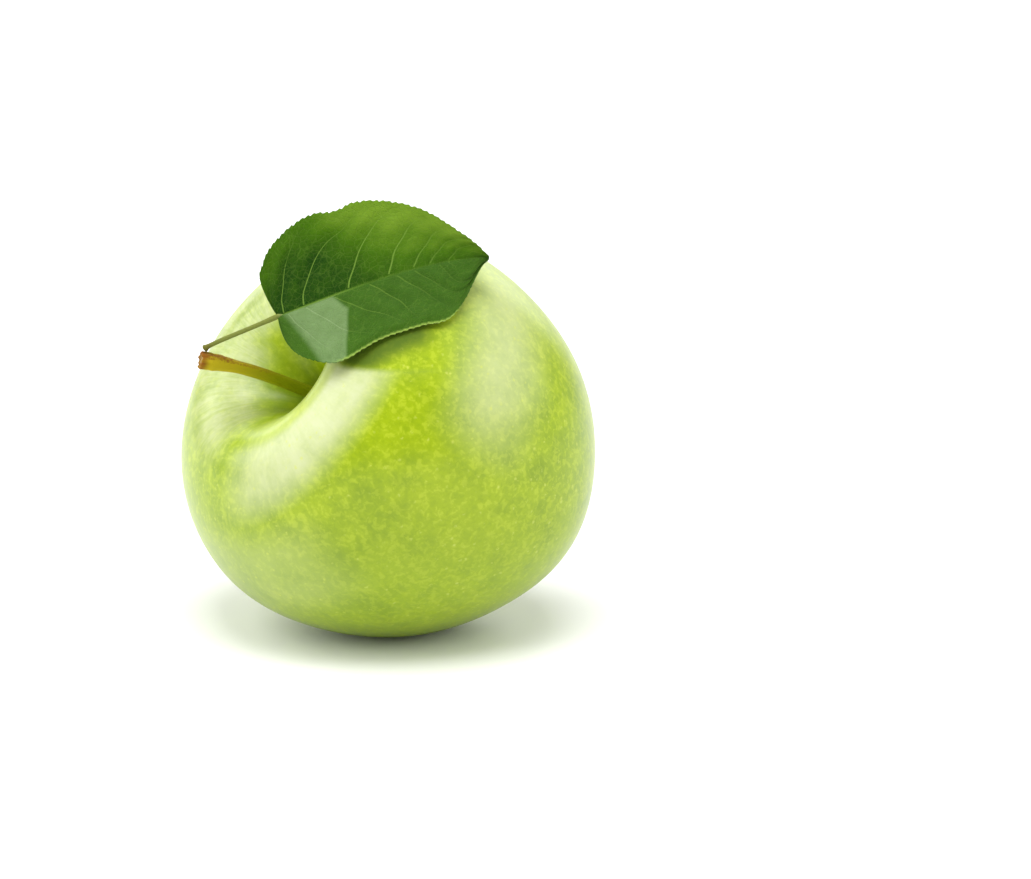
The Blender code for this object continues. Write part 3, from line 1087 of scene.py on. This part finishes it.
FAR_HALF = HalfBlade(0.0163, 0.59, 0.84, -0.0003, 0.0058, (0.0, 0.585, 0.811), 0.0,
                     ((0.065, 0.44, 0.055), (-0.30, 0.02, 0.05), (-0.035, 0.12, 0.05),
                      (0.105, 0.90, 0.085)))
NEAR_HALF = HalfBlade(0.0130, 0.39, 0.46, 0.0053, -0.0041, (0.0, -0.692, -0.722), 0.0007,
                      ((0.10, 0.55, 0.15), (-0.075, 0.33, 0.12), (-0.22, 0.86, 0.09),
                       (0.72, 0.985, 0.05)))


@dataclass(frozen=True)
class SideVein:
    """A side vein, which leaves the midrib at start: t = start + lean a + bend a^2."""

    start: float
    lean: float
    bend: float


FAR_VEINS = tuple(SideVein(*numbers) for numbers in (
    (0.042, 0.07, 0.22), (0.155, 0.12, 0.35), (0.370, 0.19, 0.14), (0.546, 0.18, 0.08),
    (0.650, 0.25, -0.03), (0.722, 0.23, 0.01), (0.805, 0.20, 0.0)))
NEAR_VEINS = tuple(SideVein(*numbers) for numbers in (
    (0.062, 0.10, 0.23), (0.155, 0.33, 0.09), (0.296, 0.42, -0.02), (0.455, 0.37, -0.10),
    (0.574, 0.32, 0.03), (0.650, 0.30, 0.15), (0.760, 0.24, 0.10)))


@dataclass
class Leaf:
    """The leaf: a toothed blade folded along its midrib, grown in one with its petiole."""

    petiole_route: tuple[Point, ...] = ((-0.0338, -0.0113, 0.0554), (-0.0324, -0.0119, 0.0566),
                                        (-0.0264, -0.0146, 0.0594), (-0.0207, -0.0164, 0.0624))
    midrib_route: tuple[Point, ...] = ((-0.0207, -0.0164, 0.0624), (-0.0117, -0.0205, 0.0665),
                                       (0.0050, -0.0195, 0.0738), (0.0167, -0.0128, 0.0720))
    halves: dict[Side, HalfBlade] = field(
        default_factory=lambda: {Side.FAR: FAR_HALF, Side.NEAR: NEAR_HALF})
    veins: dict[Side, tuple[SideVein, ...]] = field(
        default_factory=lambda: {Side.FAR: FAR_VEINS, Side.NEAR: NEAR_VEINS})
    length: float = 0.040
    vein_width: float = 0.00020
    vein_sink: float = 0.00010
    vein_wander: float = 0.003
    quilt: float = 0.00022
    belly: float = 0.0006
    tooth_length: float = 0.00115
    tooth_depth: float = 0.00034
    near_tooth_share: float = 0.6
    thickness: float = 0.00034
    margin_thickness: float = 0.00012
    groove: float = 0.00018
    light_edge: Span = (0.00025, 0.00062)
    rib_radius: float = 0.00042
    rib_end_radius: float = 0.00020
    rib_sink: float = 0.00074
    rib_side: Point = (0.0, 0.92, -0.38)
    petiole_start: float = -0.45
    rows: int = 400
    half_columns: int = 50
    tube_columns: int = 24
    petiole_rows: int = 60
    midrib_rows: int = 120
    finish: LeafFinish = field(default_factory=LeafFinish)

    def chord(self) -> Array:
        """Give the direction from the base of the blade to its tip."""
        return unit(np.array(self.midrib_route[3]) - np.array(self.midrib_route[0]))

    def teeth(self, t: Array, side: Side) -> Array:
        """Work out how far the toothed margin is cut back.

        The teeth are evenly spaced along the margin itself, whose length is summed from its points;
        each rises slowly and drops fast towards the tip.

        Args:
            t: How far along the midrib.
            side: Which half.

        Returns:
            The depth of the cut in metres.
        """
        fine = np.linspace(0.0, 1.0, 1200)
        rim = self.sheet(fine, np.full_like(fine, 0.999 * side.value), plain=True)
        steps = np.linalg.norm(np.diff(rim, axis=0), axis=1)
        length = np.concatenate([[0.0], np.cumsum(steps)])
        phase = np.interp(t, fine, length) / self.tooth_length
        saw = phase - np.floor(phase)
        size = (0.75 + 0.25 * np.sin(2.3 * phase)) * self.tooth_depth
        size = size * (1.0 if side is Side.FAR else self.near_tooth_share)
        return size * (1.0 - ease(saw, 0.0, 0.82) * (1.0 - ease(saw, 0.86, 1.0)))

    def vein_lines(self, side: Side, reach: Array, wander: float = 0.0) -> list[Array]:
        """Work out where the side veins of a half run, with one more line before and after them.

        Args:
            side: Which half.
            reach: How far out from the midrib, from 0 to 1.
            wander: How far a vein strays to and fro on its way.

        Returns:
            For each line, how far along the midrib it is.
        """
        stray = wander * ease(reach, 0.0, 0.2)
        paths = [vein.start + vein.lean * reach + vein.bend * reach**2
                 + stray * np.sin(17 * reach + 2.0 * index)
                 for index, vein in enumerate(self.veins[side])]
        return [paths[0] - 0.12, *paths, paths[-1] + 0.1]

    def vein_field(self, t: Array, across: Array) -> Array:
        """Work out how close each point is to a vein, which thins and fades towards the margin.

        Args:
            t: How far along the midrib.
            across: Where between the near and the far margin.

        Returns:
            1 on a vein and 0 away from it.
        """
        reach = np.abs(across)
        width = self.vein_width * (1.3 - 0.7 * reach)
        fade = 1.0 - 0.85 * ease(reach, 0.45, 0.95)
        closeness = np.zeros_like(t)
        for side in Side:
            here = fade * (np.sign(across) == side.value)
            for path in self.vein_lines(side, reach, self.vein_wander)[1:-1]:
                line = bell((t - path) * self.length, 0.0, width)
                closeness = np.maximum(closeness, line * here)
        return closeness

    def vein_rank(self, t: Array, across: Array) -> tuple[Array, Array]:
        """Number the blade by its side veins: whole on each vein, and in step between two veins.

        Args:
            t: How far along the midrib.
            across: Where between the near and the far margin.

        Returns:
            The running number, and the distance in metres between the two veins on either side.
        """
        reach = np.abs(across)
        rank, spacing = np.full_like(t, 0.5), np.full_like(t, 0.12 * self.length)
        for side, veins in self.veins.items():
            here = np.sign(across) == side.value
            lines = self.vein_lines(side, reach, self.vein_wander)
            for index, (low, high) in enumerate(zip(lines, lines[1:])):
                inside = here & (t >= low) & (t < high)
                rank = np.where(inside, index + (t - low) / (high - low), rank)
                spacing = np.where(inside, (high - low) * self.length, spacing)
            last = len(veins) + 0.5
            rank = np.where(here, np.clip(rank, 0.5, last), rank)
            rank = np.where(here & (t >= lines[-1]), last, rank)
        return rank, spacing

    def quilting(self, t: Array, across: Array) -> Array:
        """Work out how far the blade swells between its side veins: sin^2 from one to the next.

        Args:
            t: How far along the midrib.
            across: Where between the near and the far margin.

        Returns:
            The swelling in metres.
        """
        reach = np.abs(across)
        swell = np.zeros_like(t)
        for side in Side:
            lines = self.vein_lines(side, reach)
            for low, high in zip(lines, lines[1:]):
                share = np.clip((t - low) / (high - low), 0.0, 1.0)
                swell += np.sin(math.pi * share) ** 2 * (np.sign(across) == side.value)
        return self.quilt * swell * ease(reach, 0.02, 0.25) * (1.0 - ease(reach, 0.70, 1.0))

    def sheet(self, t: Array, across: Array, plain: bool = False) -> Array:
        """Work out the middle surface of the blade.

        A half leaves the midrib at a right angle to the chord by its share of the width, its margin
        is set back along the chord, and it bellies between rib and margin.

        Args:
            t: How far along the midrib, 0 at the base.
            across: -1 at the near margin, 0 at the midrib, 1 at the far margin.
            plain: True leaves out the teeth.

        Returns:
            The points, with one more axis than t.
        """
        chord = self.chord()
        reach = np.abs(across)
        points = bezier(self.midrib_route, t)
        for side, half in self.halves.items():
            here = (np.sign(across) == side.value)[..., None]
            lean = np.array(half.lean)
            outward = unit(lean - lean @ chord * chord)
            normal = side.value * unit(np.cross(outward, chord))
            width = half.share(t) * half.width
            if not plain:
                width = width - self.teeth(t, side) * ease(reach, 0.80, 1.0) * ease(t, 0.0, 0.05)
            sweep = half.sweep + half.base_sweep * (1.0 - t) ** 2
            out = reach * np.maximum(width, 0.0)
            back = reach * half.share(t) * sweep
            belly = self.belly * 4.0 * reach * (1.0 - reach) * half.share(t)
            curl = half.curl * ease(reach, 0.80, 1.0) ** 2 * bell(t, 0.58, 0.24)
            step = (out[..., None] * outward - back[..., None] * chord
                    + (belly + curl)[..., None] * normal)
            points = points + np.where(here, step, 0.0)
        return points

    def blade(self) -> Shell:
        """Build the blade as a closed sheet: up one face and back along the other.

        The two faces are the middle surface moved along its normal by half the thickness, less at
        the margin. Veins sink the upper face and raise the lower one, and the blade swells between
        them.

        Returns:
            The closed sheet.
        """
        even = np.linspace(0.0, 1.0, self.rows + 2)[1:-1]
        t_row = 0.45 * even + 0.55 * (0.5 - 0.5 * np.cos(math.pi * even))
        spread = np.linspace(-1.0, 1.0, 2 * self.half_columns + 1)
        spread = np.sign(spread) * np.abs(spread) ** 0.92
        t, across = np.meshgrid(t_row, spread, indexing="ij")
        middle = self.sheet(t, across)
        normal = unit(np.cross(np.gradient(middle, axis=0), np.gradient(middle, axis=1)))
        normal = normal * np.sign((normal @ np.array([0.0, -1.0, 0.4])).mean())
        reach = np.abs(across)
        swell = self.quilting(t, across) - self.vein_sink * self.vein_field(t, across)
        groove = self.groove * bell(reach, 0.0, 0.035)
        middle = middle + (swell - groove)[..., None] * normal
        taper = ease(reach, 1.0, 0.86) * ease(t, 1.0, 0.94) * ease(t, 0.0, 0.03)
        half = 0.5 * (self.margin_thickness + (self.thickness - self.margin_thickness) * taper)
        half = half * ease(1.0 - reach, -0.02, 0.012)
        upper = middle + half[..., None] * normal
        lower = middle - half[..., None] * normal
        rings = np.concatenate([upper, lower[:, -2:0:-1]], axis=1)

        def both(values: Array, flipped: bool = False) -> Array:
            """Repeat a value of the upper face on the lower one, negated if flipped."""
            back = values[:, -2:0:-1]
            return np.concatenate([values, -back if flipped else back], axis=1)

        gap = (1.0 - reach) * self.halves[Side.NEAR].width
        rank, spacing = self.vein_rank(t, across)
        # Where the near margin catches the light: a painted highlight.
        lit = np.where(across < 0.0, ease(t, 0.28, 0.40) * (1.0 - ease(t, 0.86, 0.94)), 0.0)
        edge = (1.0 - ease(gap, *self.light_edge)) * lit
        marks = np.stack([both(spacing), both(edge), both(0 * t)], -1)
        blade = np.stack([both(t), both(across), both(np.ones_like(t), True)], -1)
        tone = np.stack([both(self.bloom_and_sheen(t, across)), both(self.shade(t, across)), both(rank)], -1)
        values = {"blade": blade, "marks": marks, "tone": tone}
        return Shell(rings, np.array(self.midrib_route[0]), np.array(self.midrib_route[3]), values)

    def bloom_and_sheen(self, t: Array, across: Array) -> Array:
        """Work out the pale waxy patch with a painted reflection near the base of the near half.

        It runs from the first side vein to a line that leaves the midrib at 0.295 of its length and
        crosses the half at 0.372.

        Args:
            t: How far along the midrib.
            across: Where between the near and the far margin.

        Returns:
            The patch's share, from 0 to 1.
        """
        reach = np.abs(across)
        first = ease(t - 0.05 - 0.19 * reach**1.2, -0.040, 0.030)
        last = 1.0 - ease(t - np.minimum(0.295 + 0.30 * reach, 0.372), -0.012, 0.010)
        return first * last * (across < 0.0) * ease(reach, 0.0, 0.02)

    def shade(self, t: Array, across: Array) -> Array:
        """Work out how light the blade is: lighter towards the tip and the far margin.

        Args:
            t: How far along the midrib.
            across: Where between the near and the far margin.

        Returns:
            The lightness, from 0 to 1.
        """
        reach = np.abs(across)
        late = ease(t + 0.12 * reach, 0.33, 0.68)
        far = (0.04 + 0.34 * ease(reach, 0.45, 0.95)
               + 0.64 * late * (0.50 + 0.50 * ease(reach, 0.0, 0.5))
               - 0.10 * late * ease(reach, 0.75, 1.0) - 0.12 * ease(t, 0.80, 1.0))
        near = 0.35 + 0.14 * ease(reach, 0.6, 1.0)
        return np.where(across > 0.0, far, near)

    def stalk(self) -> Shell:
        """Build the petiole and the rib under the blade as one round tube that thins to the tip.

        Returns:
            The closed tube.
        """
        steps = np.linspace(0.0, 1.0, self.petiole_rows, endpoint=False)
        share = np.linspace(0.0, 0.93, self.midrib_rows)
        centres = np.concatenate([bezier(self.petiole_route, steps),
                                  bezier(self.midrib_route, share)])
        along = np.concatenate([self.petiole_start * (1.0 - steps), share])
        thin = np.clip(along, 0.0, 1.0)
        radius = self.rib_radius + (self.rib_end_radius - self.rib_radius) * thin**0.7
        radius = radius * (1.0 + 0.60 * bell(along, self.petiole_start, 0.035)
                           + 0.15 * bell(along, -0.02, 0.04))
        sink = self.rib_sink * ease(along, -0.01, 0.07)
        angle = ring_angles(self.tube_columns)
        furrow = 1.0 - 0.10 * bell(np.abs(angle - 0.5 * math.pi), 0.0, 0.5)
        outline = radius[:, None, None] * np.stack([np.cos(angle), np.sin(angle) * furrow], -1)
        rings = carry(centres + sink[:, None] * np.array(self.rib_side), outline, (0.0, -0.4, 1.0))
        shape = rings.shape[:2]
        whole = np.ones(shape)
        line = np.broadcast_to(along[:, None], shape)
        rib = whole * (1.0 - 0.75 * ease(line, -0.01, 0.05))
        blade = np.stack([line, 0 * whole + 0.3, -whole], -1)
        marks = np.stack([0.01 * whole, 0 * whole, rib], -1)
        tone = np.stack([0 * whole, 0.4 * whole, 0.5 * whole], -1)
        values = {"blade": blade, "marks": marks, "tone": tone}
        return Shell(rings, rings[0].mean(0), rings[-1].mean(0), values)

    def build(self) -> bpy.types.Object:
        """Build the leaf and dress it.

        Returns:
            The finished piece.
        """
        return mesh_from_shells("leaf_body", [self.blade(), self.stalk()], self.finish.build())


# ---- The dried flower ----


@dataclass(frozen=True)
class DriedFinish:
    """Dry, brown plant tissue that is greener at its foot."""

    name: str
    foot: Colour
    tip: Colour
    roughness: float = 0.85
    relief: float = 0.00012

    def build(self) -> bpy.types.Material:
        """Build the tissue from the distance along the piece and a fibre pattern.

        Returns:
            The dried tissue material.
        """
        mix = Recipe(self.name)
        span = mix.stored("span").outputs["Vector"]
        along = mix.split(span)[0]
        fibre = mix.noise(mix.stretch(span, (1.5, 9.0, 1.0)), 1.0, Octaves.FINE, 0.65)
        speck = mix.noise(mix.place(), 2400.0, Octaves.FINE, 0.6)
        share = (along + 0.7 * (fibre - 0.5)).within()
        colour = mix.blend(share, self.foot, self.tip)
        colour = mix.blend(0.5 * speck.ease(0.5, 0.7), colour, self.tip)
        rough = self.roughness + 0.2 * (speck - 0.5)
        normal = mix.relief(0.6 * fibre + 0.4 * speck, self.relief)
        return mix.finish(colour, rough, normal, {"Specular IOR Level": 0.25})


@dataclass
class DriedFlower:
    """Five curled sepals round a tuft of stamens, standing in the basin."""

    fruit: Fruit
    sepals: int = 5
    ring_radius: float = 0.0027
    length: float = 0.0052
    width: float = 0.0024
    thickness: float = 0.00026
    spread: float = math.radians(38.0)
    curl: float = 0.0011
    tuft_radius: float = 0.00135
    tuft_height: float = 0.0008
    stamens: int = 9
    stamen_length: float = 0.0030
    stamen_radius: float = 0.00020
    stamen_lean: float = math.radians(16.0)
    stamen_ring: float = 0.0009
    seat_gap: float = 0.0003
    sepal_gap: float = 0.00035
    floor_sides: int = 24
    rows: int = 40
    columns: int = 12
    sepal_finish: DriedFinish = DriedFinish("dried_sepal", linear(112, 112, 52), linear(92, 62, 34))
    stamen_finish: DriedFinish = DriedFinish("dried_stamen", linear(84, 62, 34), linear(40, 26, 16))

    def floor(self, radius: float) -> float:
        """Find the basin's floor at a radius, on its highest side.

        Args:
            radius: The distance from the fruit's axis.

        Returns:
            The floor's height in the fruit's own frame.
        """
        sides = ring_angles(self.floor_sides)
        colatitude = math.pi - math.asin(radius / self.fruit.girth_radius)
        return float(self.fruit.skin(np.full_like(sides, colatitude), sides)[:, 2].min())

    def sepal(self, index: int, material: bpy.types.Material) -> bpy.types.Object:
        """Build one sepal: a pointed, hollow scale that spreads and curls outwards.

        Its width is W (1 - t^1.6), it moves out by L t sin(spread) + curl t^3 and down by
        L t cos(spread), and its section is a thin lens.

        Args:
            index: Which sepal, from 0.
            material: Its finish.

        Returns:
            The finished piece.
        """
        t_row = np.linspace(0.0, 0.985, 60)
        angle = ring_angles(40)
        t, turned = np.meshgrid(t_row, angle, indexing="ij")
        width = self.width * (1.0 - t**1.6) + 0.8 * self.thickness * t
        crinkle = 1.0 + 0.08 * np.sin(17 * t + 2.3 * index)
        sideways = 0.5 * width * np.cos(turned) * crinkle
        lens = 0.5 * self.thickness * np.sin(turned) * (1.0 - 0.5 * np.cos(turned) ** 2)
        twist = 0.00022 * np.sin(9 * t + index) * t
        outward = (self.length * t * math.sin(self.spread) + self.curl * t**3
                   - 0.8 * sideways**2 / self.width + lens + twist)
        foot = self.floor(self.ring_radius + self.width) - self.seat_gap - self.sepal_gap
        height = foot - self.length * t * math.cos(self.spread) * (1.0 - 0.02 * np.cos(turned))
        own = np.stack([self.ring_radius + outward, sideways, height], -1)
        own = own @ turn("Z", math.tau * index / self.sepals).T
        points = self.fruit.to_part(own)
        span = np.stack([t, np.cos(turned), np.full_like(t, 0.1 * index)], -1)
        shell = Shell(points, points[0].mean(0), points[-1].mean(0), {"span": span})
        return mesh_from_shells("sepal_body_%d" % (index + 1), [shell], material)

    def filament(self, index: int, foot: float) -> Shell:
        """Build one stamen: a thin bent thread with a knob at its end.

        Args:
            index: Which stamen; the last stands in the middle.
            foot: The height of the tuft's underside, in the fruit's own frame.

        Returns:
            The closed thread.
        """
        middle = index == self.stamens - 1
        turned = math.tau * index / (self.stamens - 1)
        ring = 0.0 if middle else self.stamen_ring
        lean = 0.0 if middle else self.stamen_lean
        t = np.linspace(0.0, 1.0, self.rows)
        length = self.stamen_length * (0.82 + 0.16 * math.sin(3.1 * index + 1.0))
        out = ring + length * t * math.sin(lean) + 0.0002 * np.sin(5.0 * t + index)
        aside = 0.00018 * np.sin(7.0 * t + 2.0 * index) * t
        down = foot - 0.5 * self.tuft_height - length * t * math.cos(lean)
        centres = np.stack([out, aside, down], -1) @ turn("Z", turned).T
        radius = self.stamen_radius * (0.8 - 0.3 * t + 0.75 * bell(t, 0.93, 0.07))
        angle = ring_angles(self.columns)
        outline = radius[:, None, None] * np.stack([np.cos(angle), np.sin(angle)], -1)
        points = self.fruit.to_part(carry(centres, outline, (1.0, 0.3, 0.0)))
        along, round_ = np.meshgrid(t, np.cos(angle), indexing="ij")
        span = np.stack([along, round_, np.full_like(along, 0.1 * index)], -1)
        return Shell(points, points[0].mean(0), points[-1].mean(0), {"span": span})

    def tuft(self) -> bpy.types.Object:
        """Build the tuft: a low lumpy cushion that holds the stamens.

        The cushion's rings follow a quarter of a rounded box in radius and height.

        Returns:
            The finished piece.
        """
        foot = self.floor(self.tuft_radius) - self.seat_gap
        angle = ring_angles(48)
        t = np.linspace(0.02, 1.0, 30)[:, None]
        bulge = np.sin(math.pi * np.minimum(t, 0.98)) ** 0.35
        lumps = 1.0 - 0.05 * (1.0 + np.sin(8 * angle)) * t
        radius = self.tuft_radius * bulge * lumps
        height = foot - self.tuft_height * (0.5 - 0.5 * np.cos(math.pi * t)) + 0 * angle
        own = np.stack([radius * np.cos(angle), radius * np.sin(angle), height], -1)
        points = self.fruit.to_part(own)
        span = np.stack([0.3 + 0 * radius, np.cos(angle) + 0 * radius, 0 * radius], -1)
        cushion = Shell(points, points[0].mean(0), points[-1].mean(0), {"span": span})
        threads = [self.filament(index, foot) for index in range(self.stamens)]
        return mesh_from_shells("stamens_body", [cushion, *threads], self.stamen_finish.build())

    def build(self) -> tuple[list[bpy.types.Object], bpy.types.Object]:
        """Build the sepals and the tuft and dress them.

        Returns:
            The five sepals and the tuft.
        """
        material = self.sepal_finish.build()
        return [self.sepal(index, material) for index in range(self.sepals)], self.tuft()


# ---- The stage ----


@dataclass(frozen=True)
class SoftLight:
    """A large soft panel of light that faces the fruit.

    Attributes:
        name: Its name.
        heading: The angle round the fruit, in degrees from the front towards the right.
        height: The angle above the floor, in degrees.
        width: Its width in metres.
        tall: Its other side in metres.
        radiance: How bright its face is.
        distance: How far from the fruit it stands, in metres.
    """

    name: str
    heading: float
    height: float
    width: float
    tall: float
    radiance: float
    distance: float = 2.4

    def build(self, target: Point) -> None:
        """Add the light.

        Args:
            target: The point that it faces.
        """
        data = bpy.data.lights.new(self.name, "AREA")
        data.shape = "RECTANGLE"
        data.size = self.width
        data.size_y = self.tall
        data.energy = self.radiance * math.pi * self.width * self.tall
        heading, height = math.radians(self.heading), math.radians(self.height)
        direction = Vector((math.sin(heading) * math.cos(height),
                            -math.cos(heading) * math.cos(height), math.sin(height)))
        lamp = bpy.data.objects.new(self.name, data)
        lamp.location = Vector(target) + self.distance * direction
        lamp.rotation_euler = (-direction).to_track_quat("-Z", "Y").to_euler()
        bpy.context.scene.collection.objects.link(lamp)


@dataclass
class Stage:
    """A plain pale floor, a bright surround, soft lights and the camera."""

    target: Point
    floor_size: float = 8.0
    floor_colour: Colour = (0.92, 0.92, 0.92)
    surround: float = 0.37
    camera_distance: float = 0.9
    camera_elevation: float = math.radians(15.0)
    lens_mm: float = 172.8
    aim_right: float = 0.0237
    aim_up: float = 0.0004
    lights: tuple[SoftLight, ...] = (
        SoftLight("left_panel", -84.0, 34.0, 3.2, 2.4, 2.4),
        SoftLight("right_panel", 84.0, 32.0, 3.0, 2.2, 1.6),
        SoftLight("top_panel", 10.0, 78.0, 1.6, 1.6, 6.0),
        SoftLight("back_panel", 180.0, 18.0, 3.2, 1.3, 1.7),
    )

    def floor(self) -> None:
        """Add the floor at the height of the fruit's flat spot."""
        half = 0.5 * self.floor_size
        corners = [(-half, -half, 0.0), (half, -half, 0.0), (half, half, 0.0), (-half, half, 0.0)]
        mesh = bpy.data.meshes.new("studio_floor")
        mesh.from_pydata(corners, [], [(0, 1, 2, 3)])
        mix = Recipe("floor_paper")
        values = {"Base Color": (*self.floor_colour, 1.0), "Roughness": 0.9,
                  "Specular IOR Level": 0.1}
        shader = mix.node("ShaderNodeBsdfPrincipled", {}, values)
        mix.node("ShaderNodeOutputMaterial", {}, {"Surface": shader.outputs["BSDF"]})
        mesh.materials.append(mix.material)
        floor = bpy.data.objects.new("studio_floor", mesh)
        bpy.context.scene.collection.objects.link(floor)

    def world(self) -> None:
        """Surround the scene with even white light."""
        world = bpy.data.worlds.new("studio")
        world.use_nodes = True
        background = world.node_tree.nodes["Background"]
        background.inputs["Color"].default_value = (1.0, 1.0, 1.0, 1.0)
        background.inputs["Strength"].default_value = self.surround
        bpy.context.scene.world = world

    def camera(self) -> None:
        """Add the camera in front of the fruit, aimed a little to its right."""
        back = Vector((0.0, -math.cos(self.camera_elevation), math.sin(self.camera_elevation)))
        right = Vector((1.0, 0.0, 0.0))
        up = back.cross(right)
        centre = Vector(self.target)
        place = centre + self.camera_distance * back
        aim = centre + self.aim_right * right + self.aim_up * up
        data = bpy.data.cameras.new("studio_camera")
        data.sensor_fit = "HORIZONTAL"
        data.sensor_width = 36.0
        data.lens = self.lens_mm
        camera = bpy.data.objects.new("studio_camera", data)
        camera.location = place
        camera.rotation_euler = (aim - place).to_track_quat("-Z", "Y").to_euler()
        bpy.context.scene.collection.objects.link(camera)
        bpy.context.scene.camera = camera

    def build(self) -> None:
        """Build the whole stage."""
        bpy.context.scene.view_settings.view_transform = "Standard"
        self.floor()
        self.world()
        for light in self.lights:
            light.build(self.target)
        self.camera()


# ---- The whole ----


def place_piece(piece: bpy.types.Object, node: str) -> None:
    """Let a piece stand for a node of the part and report it.

    Args:
        piece: The finished piece.
        node: The node that it stands for.
    """
    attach(piece, ROOT_BODY)
    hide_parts(node)
    log.info("%s stands for %s with %d faces", piece.name, node, len(piece.data.polygons))


def main() -> None:
    """Build every piece and the stage."""
    logging.basicConfig(level=logging.INFO, format="%(name)s: %(message)s")
    fruit = Fruit()
    place_piece(fruit.build(), "fruit")
    place_piece(Stem().build(), "stem")
    place_piece(Leaf().build(), "leaf")
    sepals, tuft = DriedFlower(fruit).build()
    for index, piece in enumerate(sepals):
        place_piece(piece, "sepal_%d" % (index + 1))
    place_piece(tuft, "stamens")
    Stage(fruit.centre).build()


if __name__ == "__main__":
    main()
